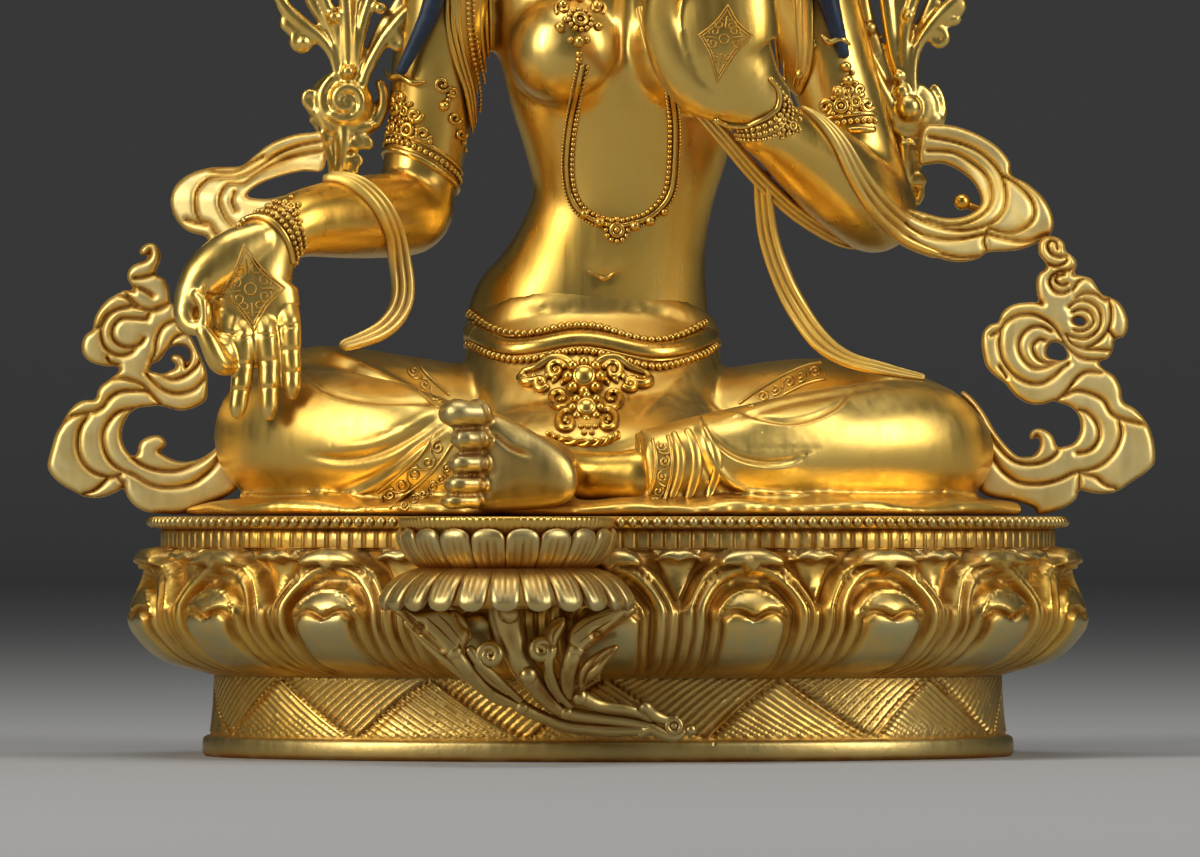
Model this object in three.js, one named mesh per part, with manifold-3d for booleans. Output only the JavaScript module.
// A seated Tara in gilt copper on a lotus plinth, her right foot on a small lotus of its own.
// Millimetres, +Z up. The front faces -Y. "Right" and "left" are her own right and left,
// so her right side lies at -X. The origin is the middle of the plinth's underside.

import * as THREE from 'three';
import { mergeVertices } from 'three/addons/utils/BufferGeometryUtils.js';
import { LoftGeometry } from 'three/addons/geometries/LoftGeometry.js';
import Module from 'manifold-3d';

const wasm = await Module();
wasm.setup();

// Driving dimensions of the plinth
const rim_width = 220.4;
const rim_depth = 152;
const plate_height = 5.7;
const plate_inset = 13;
const band_height = 15.4;
const band_inset = 15.5;
const petal_height = 29;
const petal_reach = 2.7;
const petal_count = 18;
const wall_height = 4.6;
const wall_inset = 3;
const rim_height = 2.7;

// Driving dimensions of the footrest lotus
const footrest_radius = 25;
const footrest_drop = 21;
const footrest_across = -23.4;
const footrest_lead = 9;
const footrest_petals = 18;
const leaf_thickness = 5;

// Driving dimensions of the figure and of what stands beside it
const figure_height = 284;
const scarf_end_thickness = 5.5;
const piece_gap = 0.3;

const plinth_height = plate_height + band_height + petal_height + wall_height + rim_height;
const seat = plinth_height + piece_gap;

// The figure is drawn 284 mm tall from its seat, and every length of it is a share of that
const drawn_height = 284;
const grow = figure_height / drawn_height;

const gilt_colour = 0xd9a441;
const worn_colour = 0xc9b074;

function gilt(colour) {
  return new THREE.MeshStandardMaterial({ color: colour, roughness: 0.3, metalness: 1 });
}

// Closed solids from closed geometries

function signedVolume(points, corners) {
  const a = new THREE.Vector3();
  const b = new THREE.Vector3();
  const c = new THREE.Vector3();
  let volume = 0;
  for (let i = 0; i < corners.length; i += 3) {
    a.fromArray(points, corners[i] * 3);
    b.fromArray(points, corners[i + 1] * 3);
    c.fromArray(points, corners[i + 2] * 3);
    volume += a.dot(b.cross(c)) / 6;
  }
  return volume;
}

function solidOf(geometry) {
  const bare = new THREE.BufferGeometry();
  bare.setAttribute('position', geometry.attributes.position);
  bare.setIndex(geometry.index);
  const merged = mergeVertices(bare, 1e-4);
  const points = Float32Array.from(merged.attributes.position.array);
  const corners = [];
  const source = merged.index.array;
  for (let i = 0; i < source.length; i += 3) {
    const [a, b, c] = [source[i], source[i + 1], source[i + 2]];
    if (a !== b && b !== c && c !== a) {
      corners.push(a, b, c);
    }
  }
  if (signedVolume(points, corners) < 0) {
    corners.reverse();
  }
  return new wasm.Manifold(new wasm.Mesh({
    numProp: 3,
    vertProperties: points,
    triVerts: Uint32Array.from(corners),
  }));
}

function joined(solids) {
  return solids.reduce((sum, next) => sum.add(next));
}

function largestBody(solid) {
  return solid.decompose().sort((a, b) => b.volume() - a.volume())[0];
}

function meshOf(name, solid, colour) {
  const result = solid.getMesh();
  const geometry = new THREE.BufferGeometry();
  geometry.setAttribute('position', new THREE.BufferAttribute(result.vertProperties, 3));
  geometry.setIndex(new THREE.BufferAttribute(result.triVerts, 1));
  const mesh = new THREE.Mesh(geometry, gilt(colour));
  mesh.name = name;
  return mesh;
}

// Sections and sweeps

const upwards = new THREE.Vector3(0, 0, 1);
const backwards = new THREE.Vector3(0, 1, 0);

function circle(count, at) {
  return Array.from({ length: count }, (_, i) => at((i / count) * Math.PI * 2));
}

// One section square to the way a limb runs, as two unit vectors
function sectionAxes(points, i, reference) {
  const before = points[Math.max(i - 1, 0)];
  const after = points[Math.min(i + 1, points.length - 1)];
  const along = after.clone().sub(before).normalize();
  const side = along.clone().cross(reference).normalize();
  const up = along.clone().cross(side).normalize();
  return { along, side, up };
}

// A limb through stations [x, y, z, radius across, radius along the reference]. Its far end is
// rounded, and so is its start where that shows.
function limb(stations, {
  sides = 10, reference = upwards, extra = 0, rounded = true,
} = {}) {
  const points = stations.map(([x, y, z]) => new THREE.Vector3(x, y, z));
  const sections = [];
  stations.forEach(([, , , across, deep = across], i) => {
    const { along, side, up } = sectionAxes(points, i, reference);
    const ring = (shift, share) => circle(sides, (t) => points[i].clone()
      .addScaledVector(along, shift)
      .addScaledVector(side, Math.cos(t) * (across * share + extra))
      .addScaledVector(up, Math.sin(t) * (deep * share + extra)));
    const round = Math.min(across, deep) * 0.6 + extra;
    if (i === 0 && rounded) {
      sections.push(ring(-round, 0.5));
    }
    sections.push(ring(0, 1));
    if (i === stations.length - 1) {
      sections.push(ring(round, 0.5));
    }
  });
  return solidOf(new LoftGeometry(sections, { capStart: true, capEnd: true }));
}

// A flat ribbon through stations [x, y, z, half its width], its broad side facing the viewer
function ribbon(stations, thickness, facing = new THREE.Vector3(0, -1, 0)) {
  const points = stations.map(([x, y, z]) => new THREE.Vector3(x, y, z));
  const sections = stations.map(([, , , half], i) => {
    const { side } = sectionAxes(points, i, facing);
    const corner = (across, depth) => points[i].clone()
      .addScaledVector(side, across * half)
      .addScaledVector(facing, depth * thickness);
    return [corner(-1, 0.5), corner(1, 0.5), corner(0.9, -0.5), corner(-0.9, -0.5)];
  });
  return solidOf(new LoftGeometry(sections, { capStart: true, capEnd: true }));
}

function ball(x, y, z, radius, [wide, deep, tall] = [1, 1, 1], detail = 10) {
  const geometry = new THREE.SphereGeometry(radius, detail, Math.round(detail * 0.7));
  geometry.scale(wide, deep, tall);
  geometry.translate(x, y, z);
  return solidOf(geometry);
}

// A stack of level rings [z, half width, half depth, centre x, centre y]
function stack(rings, sides) {
  const sections = rings.map(([z, wide, deep, x = 0, y = 0]) => circle(sides, (t) => new THREE.Vector3(
    x + Math.sin(t) * wide,
    y - Math.cos(t) * deep,
    z,
  )));
  return solidOf(new LoftGeometry(sections, { capStart: true, capEnd: true }));
}

// An outline in the X-Z plane, given as [x, z] pairs, extruded along Y about the depth y
function plate(outline, holes, y, thickness) {
  const edge = outline.map(([x, z]) => new THREE.Vector2(x, z));
  if (THREE.ShapeUtils.isClockWise(edge)) {
    edge.reverse();
  }
  const shape = new THREE.Shape(edge);
  holes.forEach((hole) => {
    shape.holes.push(new THREE.Path(hole.map(([x, z]) => new THREE.Vector2(x, z))));
  });
  const geometry = new THREE.ExtrudeGeometry(shape, { depth: thickness, bevelEnabled: false });
  geometry.rotateX(Math.PI / 2);
  geometry.translate(0, y + thickness / 2, 0);
  return solidOf(geometry);
}

// Plinth

// Angles that part an ellipse into lengths of equal arc, starting at the front middle
function evenAngles(half_width, half_depth, count) {
  const steps = 1440;
  const lengths = [0];
  for (let i = 0; i < steps; i += 1) {
    const t = ((i + 0.5) / steps) * Math.PI * 2;
    const step = Math.hypot(half_width * Math.cos(t), half_depth * Math.sin(t));
    lengths.push(lengths[i] + step);
  }
  const angles = [];
  let at = 0;
  for (let i = 0; i < count; i += 1) {
    const wanted = (lengths[steps] * i) / count;
    while (lengths[at + 1] < wanted) {
      at += 1;
    }
    const part = (wanted - lengths[at]) / (lengths[at + 1] - lengths[at]);
    angles.push(((at + part) / steps) * Math.PI * 2);
  }
  return angles;
}

function plinthRing(angles, z, insetAt) {
  return angles.map((t, i) => {
    const inset = insetAt(i);
    return new THREE.Vector3(
      Math.sin(t) * (rim_width / 2 - inset),
      -Math.cos(t) * (rim_depth / 2 - inset),
      z,
    );
  });
}

// Profile of the petal ring: [share of its height, inset of the bulge, depth of the valley]
const petal_profile = [
  [0, band_inset, 0],
  [0.1, 7.5, 1],
  [0.26, 0.4 - petal_reach * 0.5, 3.2],
  [0.44, -petal_reach, 4],
  [0.62, -petal_reach * 0.75, 4.2],
  [0.78, 0, 4],
  [0.92, -1.2, 3.4],
  [1, wall_inset - 1, 0.6],
];
const petal_columns = 4;

function petalRing() {
  const count = petal_count * petal_columns;
  const angles = evenAngles(rim_width / 2, rim_depth / 2, count);
  const foot = plate_height + band_height;
  const sections = petal_profile.map(([share, inset, valley]) => plinthRing(
    angles,
    foot + share * petal_height,
    (i) => {
      const column = i % petal_columns;
      const from_middle = Math.min(column, petal_columns - column) / (petal_columns / 2);
      const arch = share > 0.7 ? (share - 0.7) * 1.6 : 0;
      return inset + valley * Math.min(1, from_middle ** 2 * (1 + arch * 2));
    },
  ));
  return solidOf(new LoftGeometry(sections, { capStart: true, capEnd: true }));
}

// Level rings of the plinth's plain parts, as [z, inset] pairs
function plainPart(levels, sides) {
  return stack(levels.map(([z, inset]) => [z, rim_width / 2 - inset, rim_depth / 2 - inset]), sides);
}

function lotusPlinth() {
  const sides = 32;
  const edge = 0.8;
  const band_top = plate_height + band_height;
  const wall_foot = band_top + petal_height;
  const rim_foot = wall_foot + wall_height;
  const sink = 0.6;
  const foot = plainPart([
    [0, plate_inset + edge],
    [edge, plate_inset],
    [plate_height - edge, plate_inset],
    [plate_height, plate_inset + edge],
    [plate_height, band_inset],
    [band_top + sink, band_inset],
  ], sides);
  const head = plainPart([
    [wall_foot - sink, wall_inset],
    [rim_foot, wall_inset],
    [rim_foot, edge],
    [rim_foot + rim_height / 2, 0],
    [plinth_height, edge],
  ], sides);
  return joined([foot, petalRing(), head]);
}

// A plain shell round the plinth, a gap outside it, that trims what is fixed against it
function plinthShell() {
  const gap = piece_gap;
  const band_top = plate_height + band_height;
  return plainPart([
    [-1, plate_inset - gap],
    [plate_height + gap, plate_inset - gap],
    [plate_height + gap, band_inset - gap],
    [band_top - gap, band_inset - gap],
    [band_top + petal_height * 0.26, -petal_reach - gap],
    [band_top + petal_height + gap, -petal_reach - gap],
    [band_top + petal_height + gap, -gap],
    [plinth_height + gap, -gap],
  ], 32);
}

// Footrest lotus

const footrest_back = -(rim_depth / 2 + footrest_lead);

// Levels of the footrest from below: [share of its drop, share of its radius, depth of the notches]
const footrest_profile = [
  [1, 0.8, 0],
  [0.98, 1.18, 1.6],
  [0.86, 1.2, 1.6],
  [0.58, 0.88, 0.4],
  [0.42, 1.02, 1],
  [0.22, 0.98, 1],
  [0.05, 1.02, 0],
  [0, 1, 0],
];

// The disc and its two rings of petals, the upper standing and the lower drooping
function petalCup(top) {
  const sides = footrest_petals * 2;
  const sections = footrest_profile.map(([drop, share, notch]) => Array.from({ length: sides }, (_, i) => {
    const t = (i / sides) * Math.PI * 2;
    const reach = footrest_radius * share - notch * (i % 2);
    return new THREE.Vector3(
      footrest_across + Math.sin(t) * reach,
      footrest_back - Math.cos(t) * reach,
      top - drop * footrest_drop,
    );
  }));
  return solidOf(new LoftGeometry(sections, { capStart: true, capEnd: true }));
}

function acanthus(tip, foot, y) {
  const [tip_x, tip_z] = tip;
  const [foot_x, foot_z] = foot;
  const run = new THREE.Vector2(tip_x - foot_x, tip_z - foot_z);
  const square = new THREE.Vector2(-run.y, run.x);
  const half_widths = [0.08, 0.34, 0.26, 0.44, 0.3, 0.06];
  const at = (i, sign) => {
    const along = i / (half_widths.length - 1);
    const point = new THREE.Vector2(foot_x, foot_z).addScaledVector(run, along);
    point.addScaledVector(square, sign * half_widths[i] * 0.6);
    return [point.x, point.y];
  };
  const right = half_widths.map((_, i) => at(i, -1));
  const left = half_widths.map((_, i) => at(i, 1)).reverse();
  return plate([...right, ...left], [], y, leaf_thickness);
}

function footrestLotus() {
  const top = plinth_height;
  const skirt_foot = top - footrest_drop;
  const x = footrest_across;
  const y = footrest_back;
  const face = -(rim_depth / 2 + petal_reach) - leaf_thickness / 2 - 2;
  const knot = [x + 6, 14];
  const stalk = limb([
    [x + 1, y + 2, skirt_foot + 1, 4],
    [x, face, 28, 4],
    [x + 6, face + 1, 14, 2.6],
  ], { sides: 6, reference: backwards });
  const leaves = [
    acanthus([x - 24, 33], knot, face),
    acanthus([x + 27, 31], [x + 8, 12], face),
  ];
  const root_tip = [x + 43, face + 13, 6.8];
  const stems = [
    [[x - 12, face - 2, 24, 1.8], [x + 4, face + 2, 13, 2.2], [x + 24, face + 8, 8.4, 1.8]],
    [[x + 5, face - 2, 20, 2.2], [x + 12, face + 3, 12, 2.4], [x + 26, face + 9, 9.4, 1.8]],
    [[x + 2, face - 1, 12, 2], [x + 16, face + 5, 8.6, 2.2], [x + 30, face + 10, 7, 2]],
  ].map((stations) => limb([...stations, [...root_tip, 1.8]], { sides: 4 }));
  const ring = ball(root_tip[0] + 1, root_tip[1], root_tip[2], 3, [1, 0.8, 1], 6);
  const bead = ball(root_tip[0] + 4.6, root_tip[1], root_tip[2] - 0.6, 1.5, [1, 1, 1], 6);
  const whole = joined([petalCup(top), stalk, ...leaves, ...stems, ring, bead]);
  return largestBody(whole.subtract(plinthShell()));
}

// Figure, in its own frame: x and y as on the plinth, z from the seat

function robeOnSeat(extra = 0) {
  const sides = 24;
  const wave = (t) => 1 + 0.012 * Math.sin(t * 11) + 0.008 * Math.sin(t * 7);
  const level = (z, wide, deep) => circle(sides, (t) => new THREE.Vector3(
    Math.sin(t) * (wide * wave(t) + extra),
    -6 - Math.cos(t) * (deep * wave(t) + extra),
    z,
  ));
  return solidOf(new LoftGeometry(
    [level(-extra, 100, 62), level(2, 101, 63), level(5 + extra, 96, 58)],
    { capStart: true, capEnd: true },
  ));
}

// Torso levels: [z, half width, half depth, centre x, centre y]. The belt stands out at 38 to 48.
const torso = [
  [8, 35, 26, -4, 24],
  [37, 31, 20.8, -4, 20],
  [39.4, 32.8, 22.4, -4, 19.8],
  [46.4, 31.8, 21.2, -3.6, 18.6],
  [48.4, 29.2, 18.4, -3.2, 17.8],
  [56, 25, 16, -0.6, 15.5],
  [66, 22, 14.6, 1.4, 13.5],
  [76, 21.8, 14.6, 3.4, 12.5],
  [90, 26, 16, 4.4, 11.2],
  [112, 31.6, 18, 4, 9],
  [132, 35, 17, 4, 8.5],
  [148, 33, 14, 4, 8.5],
  [157, 21, 11.5, 3.6, 8],
  [165, 12, 10, 3.2, 7],
];

const right_thigh = [[-16, 17, 14, 20], [-46, 6, 19, 19], [-73, -10, 21, 18.4]];
const right_shin = [[-74, -14, 19, 16.5], [-54, -34, 16, 15.5], [-34, -48, 14, 12], [-16, -52, 11.5, 8]];
const left_thigh = [[14, 18, 14, 20], [42, 6, 18.5, 19], [68.5, -9, 17.5, 17.6]];
const left_shin = [[70, -14, 16, 15.6], [46, -36, 14, 13.6], [24, -47, 12, 10.5], [4, -51, 9.5, 6.4]];
const right_upper_arm = [
  [-27, 8, 151, 9.5], [-35.6, 7, 142, 12.6], [-39.4, 7.4, 120, 11.6], [-42.6, 7.9, 96, 10.2], [-43, 8, 94, 12], [-43.8, 8, 90.6, 12],
  [-44.2, 8, 89, 10], [-47, 7, 76, 9.2],
];
const right_forearm = [
  [-47, 6, 73, 9.6], [-54.4, -6, 72.2, 10], [-55.2, -7.4, 72, 11.8], [-62, -16.4, 71, 11.6],
  [-63, -17.8, 70.8, 9.8], [-71.6, -27.8, 69.2, 8], [-72.4, -28.6, 69, 9.8], [-75.6, -32.4, 68.4, 9.4],
  [-77, -34, 68, 7.2],
];
const left_upper_arm = [
  [35, 8, 151, 9.5], [43.6, 7, 142, 12.6], [50, 6, 122, 11.4], [57.2, 3.8, 98, 10.2], [57.8, 3.6, 96, 12], [58.9, 3, 92.4, 12],
  [59.5, 2.7, 90.6, 10], [64, 0, 76, 9.2],
];
const left_forearm = [
  [64.5, -1, 72.5, 9.4], [56, -14, 79, 10.8], [54.6, -16, 80.2, 12], [49.4, -22.6, 84, 11.4],
  [48, -24.4, 85, 9.6], [41, -33, 89.4, 7.8], [40.2, -34, 89.8, 9.8], [37.4, -36.6, 91.8, 9.6],
  [36, -38, 92.8, 7.4],
];

function foot(sole, toes) {
  const body = limb(sole, { sides: 9 });
  const tips = toes.map(([x, y, z, length, radius]) => limb([
    [x + length * 0.5, y + 0.6, z, radius],
    [x - length, y - 0.4, z, radius * 0.9],
  ], { sides: 5, rounded: false }));
  return joined([body, ...tips]);
}

// Sole to the viewer, toes to her right, the great toe on top
function rightFoot() {
  const sole = [[-8.5, -57, 6.6, 6, 6.4], [-18, -60, 9.6, 6.4, 9], [-28, -64, 12.8, 6.6, 11.6]];
  const toes = [
    [-31, -66, 23.4, 6.4, 3.1],
    [-33, -66.5, 17.4, 5.4, 2.1],
    [-33.4, -66.5, 13, 5.2, 2.1],
    [-33.2, -66, 8.6, 5, 2],
    [-32.6, -65.5, 4.4, 4.6, 1.9],
  ];
  return foot(sole, toes);
}

// Laid behind the right foot, its toes out of sight
function leftFoot() {
  return limb([[4, -50, 9, 5.6, 6.4], [-8, -47, 8.4, 4.6, 6.6], [-26, -43, 7.2, 4, 6.4]], { sides: 8 });
}

function chain(points, radii, options) {
  return limb(points.map((point, i) => [...point, radii[i]]), options);
}

// Palm to the viewer, the fingers down over the right knee
function rightHand() {
  const face = { sides: 8, reference: backwards };
  const palm = limb([
    [-78, -35, 64, 8, 5],
    [-85, -37, 54, 12.4, 4.6],
    [-83, -38, 45, 11.6, 4],
  ], face);
  const fingers = [
    [[-89.6, -38, 46], [-90.6, -42.5, 34]],
    [[-84.8, -38.6, 46], [-86.4, -39.8, 25]],
    [[-80, -38.6, 46], [-79.6, -40, 24]],
    [[-76, -38.2, 47], [-73.6, -39.5, 28.4]],
  ].map((points) => chain(points, [2.7, 2.1], { sides: 5, reference: face.reference, rounded: false }));
  const thumb = chain(
    [[-93, -38, 58], [-97, -42, 50.5], [-93.4, -45, 42.5]],
    [4, 3, 2.2],
    { sides: 5, reference: face.reference, rounded: false },
  );
  return joined([palm, ...fingers, thumb]);
}

// Palm to the viewer, the fingers up, thumb and ring finger together
function leftHand() {
  const face = { sides: 8, reference: backwards };
  const palm = limb([
    [33, -39.5, 97, 8.4, 5],
    [26, -42, 107, 13, 5],
    [25, -42.5, 120, 12.4, 4.4],
  ], face);
  const fingers = [
    [[33.4, -42.5, 122], [36, -43.4, 140]],
    [[28.4, -42.5, 123], [29.4, -44, 145]],
    [[22.8, -42.5, 123], [22, -48, 130], [20, -54, 124]],
    [[17.4, -42, 121], [15, -43.2, 138]],
  ].map((points) => chain(points, points.length === 3 ? [2.8, 2.6, 2.1] : [2.8, 2.2], { sides: 5, reference: face.reference, rounded: false }));
  const thumb = chain(
    [[16, -43, 109], [13.4, -49, 116], [18, -55, 121.6]],
    [4.4, 3.2, 2.4],
    { sides: 5, reference: face.reference, rounded: false },
  );
  return joined([palm, ...fingers, thumb]);
}

const head_centre = [1.6, 1, 203];

function head() {
  const [x, y, z] = head_centre;
  const neck = stack([
    [160, 11, 10, 3.2, 7],
    [184, 10.6, 10.4, 2, 5],
  ], 9);
  const skull = stack([
    [z - 24, 4.6, 5, x, y - 11],
    [z - 20.6, 11, 12, x, y - 6],
    [z - 12, 17, 19.4, x, y],
    [z + 2, 20.4, 22.4, x, y],
    [z + 18, 20.2, 22.6, x, y + 1],
    [z + 30, 15.6, 18.4, x, y + 2],
    [z + 39, 6, 8, x, y + 3],
  ], 12);
  const nose = limb([
    [x, y - 21.4, z + 6, 1.3],
    [x, y - 24, z - 4, 2.5],
  ], { sides: 5, reference: backwards });
  const earrings = [-1, 1].map((side) => ball(x + side * 20, y + 1, z - 12, 7.4, [0.8, 0.7, 1.2], 7));
  return [neck, skull, nose, ...earrings];
}

// Crown of leaves round the brow, and the bound hair behind it
function crown() {
  const [x, y, z] = head_centre;
  const foot = z + 20;
  const steps = 16;
  const sections = Array.from({ length: steps + 1 }, (_, i) => {
    const turn = THREE.MathUtils.degToRad(-104 + (208 * i) / steps);
    const tall = [9, 22, 33, 22][i % 4] - Math.abs(turn) * 3;
    const corner = (radius, level) => new THREE.Vector3(
      x + Math.sin(turn) * radius,
      y - Math.cos(turn) * (radius + 2.4),
      level,
    );
    return [
      corner(21, foot + tall),
      corner(23.4, foot + tall),
      corner(22, foot - 1),
      corner(17, foot - 1),
    ];
  });
  const leaves = solidOf(new LoftGeometry(sections, { capStart: true, capEnd: true }));
  const hair = stack([
    [z + 28, 15, 17, x, y + 3],
    [z + 40, 11, 11.6, x, y + 3],
    [z + 46, 10, 10.6, x, y + 3],
    [z + 57, 12.4, 12.4, x, y + 3],
    [z + 66, 9.4, 9.4, x, y + 3],
    [z + 72, 4, 4, x, y + 3],
    [z + 78, 3.4, 3.4, x, y + 3],
    [z + 81, 0.8, 0.8, x, y + 3],
  ], 8);
  return [leaves, hair];
}

// Hair falling behind the neck and down over the outer sides of the upper arms
function hairLocks(extra = 0) {
  const back = limb([
    [2, 20, 216, 14, 6],
    [3, 22, 186, 13, 5],
    [4, 24, 150, 21, 5],
    [4, 25, 130, 21, 4],
  ], { sides: 7, reference: backwards, extra });
  const locks = [
    [[-22, 17, 158], [-44, 9, 149], [-49.5, 1, 124], [-52, 0, 108]],
    [[30, 17, 158], [52, 9, 149], [59.5, 1, 126], [62, 0, 114]],
  ].map((points) => chain(points, [5, 5, 3.8, 2.4], { sides: 5, reference: backwards, extra }));
  return [back, ...locks];
}

// The clasp of rosettes that hangs below the belt
function clasp() {
  return limb([[-5, -2.6, 36, 7.4, 4], [-6, -8, 22, 4, 4]], { sides: 6, reference: backwards });
}

// The shawl where it stands free: from the forearms out in a loop at each side, and down to
// the thighs in a narrow strip
function shawl() {
  const right_loop = ribbon([
    [-60, -4, 85.4, 3.6],
    [-70, -5, 83.6, 4.2],
    [-82, -8, 79.6, 5],
    [-92, -11, 75.4, 6.6],
    [-98.4, -13, 72.4, 7],
    [-100.6, -16, 69.6, 5],
    [-93, -20, 68, 4.6],
    [-84, -24, 68.6, 4],
    [-74, -24, 70, 3.6],
  ], 4.4);
  const left_loop = ribbon([
    [66, 4, 94, 3.4],
    [78, 4, 91, 4],
    [88, 2, 86, 4.8],
    [97, 0, 78.6, 6],
    [101.6, -2, 71, 6.4],
    [95, -4, 66.6, 5.6],
    [84, -6, 65, 4.6],
    [73, -8, 69, 3.6],
    [64, -12, 80, 3],
    [55, -20, 91, 2.8],
  ], 4.4);
  const right_strip = ribbon([
    [-52, -8, 66, 2.8],
    [-49.6, -9, 58, 2.8],
    [-49.6, -9, 50, 2.8],
    [-53, -9, 44.4, 2.6],
    [-62, -10, 40.4, 2.4],
    [-70, -11, 38.2, 2.2],
  ], 3.4);
  const left_strip = ribbon([
    [38, -18, 79, 2.4],
    [37.6, -14, 70, 2.4],
    [40.4, -10, 56, 2.4],
    [46, -8, 44, 2.4],
    [54, -8, 37.6, 2.6],
    [64, -10, 34.6, 2.6],
  ], 3.4);
  return [right_loop, left_loop, right_strip, left_strip];
}

// Cloth heaped in the lap, between thighs and shins
function lap() {
  return stack([
    [3, 56, 34, -2, -16],
    [15, 46, 26, -2, -14],
    [21, 30, 14, -2, -10],
  ], 10);
}

function breasts() {
  return [-8.6, 17.6].map((x) => ball(x, -3.6, 111, 13.6, [1, 0.92, 1], 8));
}

function figureDrawn() {
  const below = new THREE.BoxGeometry(drawn_height, drawn_height, 20);
  below.translate(0, 0, -10);
  return joined([
    robeOnSeat(),
    stack(torso, 14),
    ...breasts(),
    lap(),
    limb(right_thigh, { sides: 9 }),
    limb(left_thigh, { sides: 9 }),
    limb(right_shin, { sides: 9 }),
    limb(left_shin, { sides: 9 }),
    rightFoot(),
    leftFoot(),
    limb(right_upper_arm, { sides: 8, reference: backwards }),
    limb(left_upper_arm, { sides: 8, reference: backwards }),
    limb(right_forearm, { sides: 8 }),
    limb(left_forearm, { sides: 8 }),
    rightHand(),
    leftHand(),
    ...head(),
    ...crown(),
    ...hairLocks(),
    clasp(),
    ...shawl(),
  ]).subtract(solidOf(below));
}

// Lotus sprays, one beside each upper arm

function blossom(x, y, z, radius, tall) {
  const petals = 6;
  const sides = petals * 2;
  const levels = [[0, 0.3, 0], [0.18, 0.8, 0.1], [0.45, 1, 0.16], [0.75, 0.8, 0.2], [1, 0.3, 0.1]];
  const sections = levels.map(([share, reach, notch]) => Array.from({ length: sides }, (_, i) => {
    const t = (i / sides) * Math.PI * 2;
    const r = radius * (reach - (i % 2) * notch);
    return new THREE.Vector3(x + Math.sin(t) * r, y - Math.cos(t) * r * 0.8, z + share * tall);
  }));
  return solidOf(new LoftGeometry(sections, { capStart: true, capEnd: true }));
}

function spray(side, x, y) {
  const level = 98.4;
  const upright = { sides: 7, reference: backwards };
  const disc = new THREE.CylinderGeometry(7.4, 7.4, 6.4, 12);
  disc.translate(x, y, level);
  const knob = ball(x + side * 0.6, y - 3.6, level, 2.6, [1, 1, 1], 6);
  const stems = limb([
    [x, y, level + 5, 3.4, 3],
    [x, y, level + 14, 6, 3.6],
    [x + side, y, level + 27, 14, 4.6],
    [x + side, y, level + 40, 12, 6],
    [x + side, y, level + 52, 5, 5],
  ], upright);
  const curls = [-1, 1].map((way) => limb([
    [x + way * 3, y, level + 8, 1.8],
    [x + way * 8, y, level + 15, 2],
    [x + way * 15, y, level + 22, 2],
    [x + way * 17.4, y, level + 17, 1.8],
    [x + way * 13.6, y, level + 14.4, 1.6],
  ], { sides: 4, reference: backwards }));
  const drop = limb([
    [x + side * 0.6, y - 1, level - 6, 4, 2.6],
    [x + side * 0.6, y - 1, level - 13, 4.4, 2.4],
    [x + side * 0.6, y - 1, level - 18, 1.6, 1.6],
  ], { sides: 6, reference: upright.reference });
  return joined([
    solidOf(disc), knob, stems, ...curls, drop,
    blossom(x + side, y, level + 46, 17, 32),
  ]);
}

// Pierced ends of the shawl, one standing on the plinth beside each knee

const right_end_outline = [
  [-112, 63.6], [-110.8, 65], [-108.6, 65.3], [-107, 63.2], [-107.9, 57.6], [-105.3, 54.7],
  [-104.5, 50.8], [-102.6, 46.3], [-98.6, 41.9], [-96.2, 34.8], [-96.2, 27.2], [-93.7, 21.5],
  [-88.4, 11.7], [-89.7, 6.4], [-93.7, 2], [-100.8, 0], [-107.9, 0], [-113.3, 2], [-116.1, 6.4],
  [-119.5, 4.6], [-123.5, 4], [-128.3, 6.4], [-134.1, 11.3], [-133, 17.5], [-130.1, 23.3],
  [-126.1, 26.8], [-122.6, 27.7], [-120.3, 31.7], [-116.8, 34.3], [-124.3, 37.4], [-125.9, 41],
  [-122.8, 45.9], [-121.2, 49.4], [-117.2, 53], [-112.8, 53.9], [-114.1, 59.6],
];
const right_end_holes = [
  [[-115.2, 23.3], [-112.8, 25.2], [-108.8, 26.1], [-101.3, 24.8], [-98.4, 25.6], [-95.6, 18.8],
    [-98.3, 15], [-101.7, 13.6], [-105.7, 14.2], [-105.7, 17.5], [-107.9, 19.2], [-111.5, 17.9],
    [-112.6, 14.4], [-115, 16.2], [-116.1, 19.7]],
  [[-110.1, 35.2], [-107.5, 37.9], [-103.9, 40.1], [-99.9, 39.9], [-101.7, 34.8], [-107.5, 34]],
];
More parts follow.
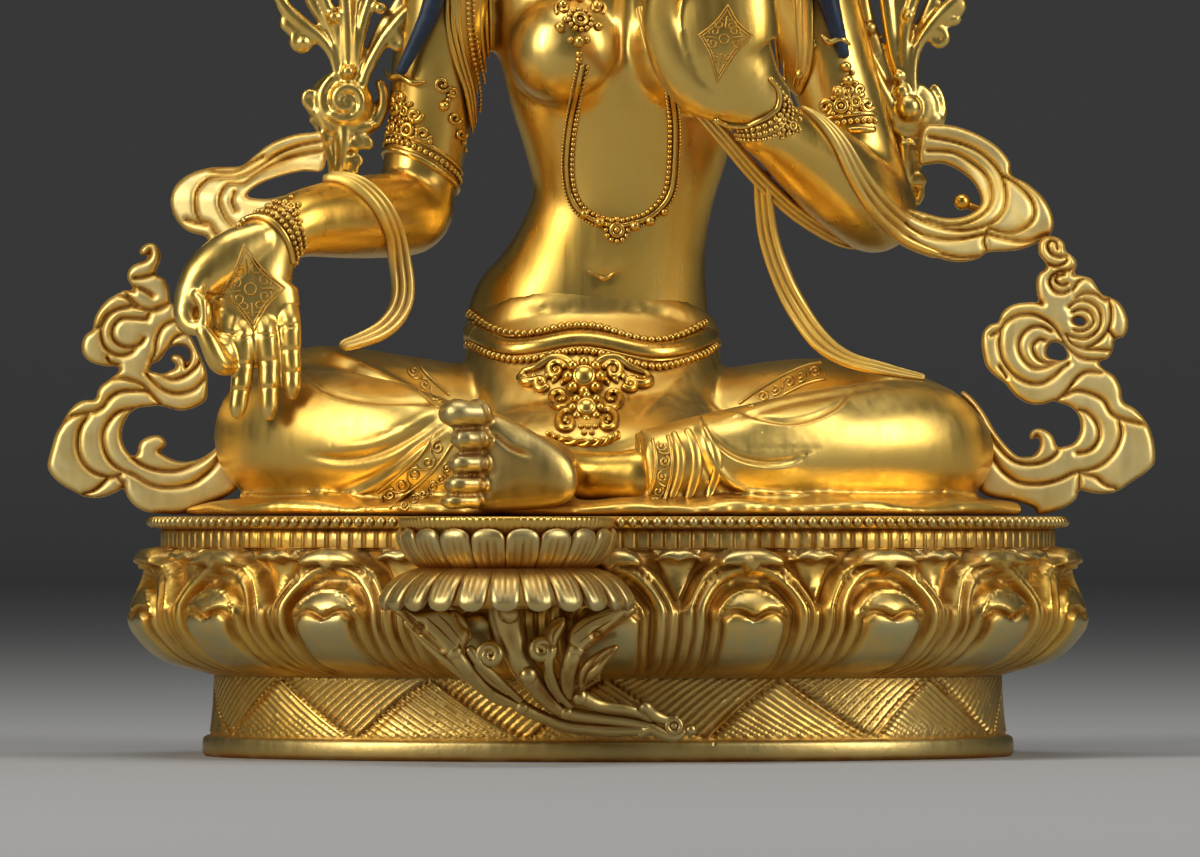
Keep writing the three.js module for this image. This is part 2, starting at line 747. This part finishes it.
const left_end_outline = [
  [105.3, 66.5], [108, 65.6], [109.1, 63.2], [111.6, 60.7], [111.6, 57.8], [115.1, 56.7],
  [118.2, 53.2], [122.2, 51.2], [124.2, 47.2], [123.6, 43.2], [121.1, 41.9], [120.7, 37.9],
  [117.8, 36.6], [121.3, 33], [122.8, 27.4], [125.8, 25.4], [128.9, 21.4], [131, 13.4],
  [126.7, 8.6], [121.3, 5.8], [112.8, 6.8], [111.1, 3.2], [103.6, 0], [95.6, 0], [90.3, 5],
  [87.1, 10.8], [88.5, 17.4], [87.1, 28.5], [90.7, 25], [94.2, 18.8], [98.7, 14.5],
  [102.2, 15], [102.7, 17.9], [101.8, 20.6], [104.5, 20.3], [107.3, 16.1], [111.1, 17.2],
  [113.1, 20.5], [111.1, 25.9], [104, 26.8], [99.6, 27.2], [95.6, 32.1], [91.1, 34.3],
  [89.1, 41], [91.1, 45.4], [96.5, 50.3], [103.6, 51], [102.5, 55.2], [104.5, 59.6], [103, 63.6],
];
const left_end_holes = [
  [[101.8, 40.1], [102.7, 41.9], [105.8, 41.9], [109.3, 39.6], [109.3, 37.4], [103.1, 37.9]],
];

// Whatever of the figure a piece beside it could touch, a gap fatter than it is
function nearFigure() {
  const extra = piece_gap * 1.6;
  const upright = { sides: 8, reference: backwards, extra };
  const flat = { sides: 9, extra };
  return joined([
    robeOnSeat(extra),
    ...hairLocks(extra),
    limb(right_thigh, flat),
    limb(left_thigh, flat),
    limb(right_shin, flat),
    limb(left_shin, flat),
    limb(right_upper_arm, upright),
    limb(left_upper_arm, upright),
  ]);
}

const group = new THREE.Group();
const beside = new THREE.Group();
beside.position.z = seat;
beside.scale.setScalar(grow);

group.add(meshOf('lotus_plinth', lotusPlinth(), gilt_colour));
group.add(meshOf('footrest_lotus', footrestLotus(), worn_colour));

const figure_drawn = figureDrawn();
const near = nearFigure();
beside.add(meshOf('figure', figure_drawn, gilt_colour));
beside.add(meshOf('lotus_spray_right', largestBody(spray(-1, -62.6, 4).subtract(near)), gilt_colour));
beside.add(meshOf('lotus_spray_left', largestBody(spray(1, 75, 12).subtract(near)), gilt_colour));
const end_depth = -8;
beside.add(meshOf(
  'scarf_end_right',
  plate(right_end_outline, right_end_holes, end_depth, scarf_end_thickness).subtract(near),
  gilt_colour,
));
beside.add(meshOf(
  'scarf_end_left',
  plate(left_end_outline, left_end_holes, end_depth, scarf_end_thickness).subtract(near),
  gilt_colour,
));
group.add(beside);

export default group;
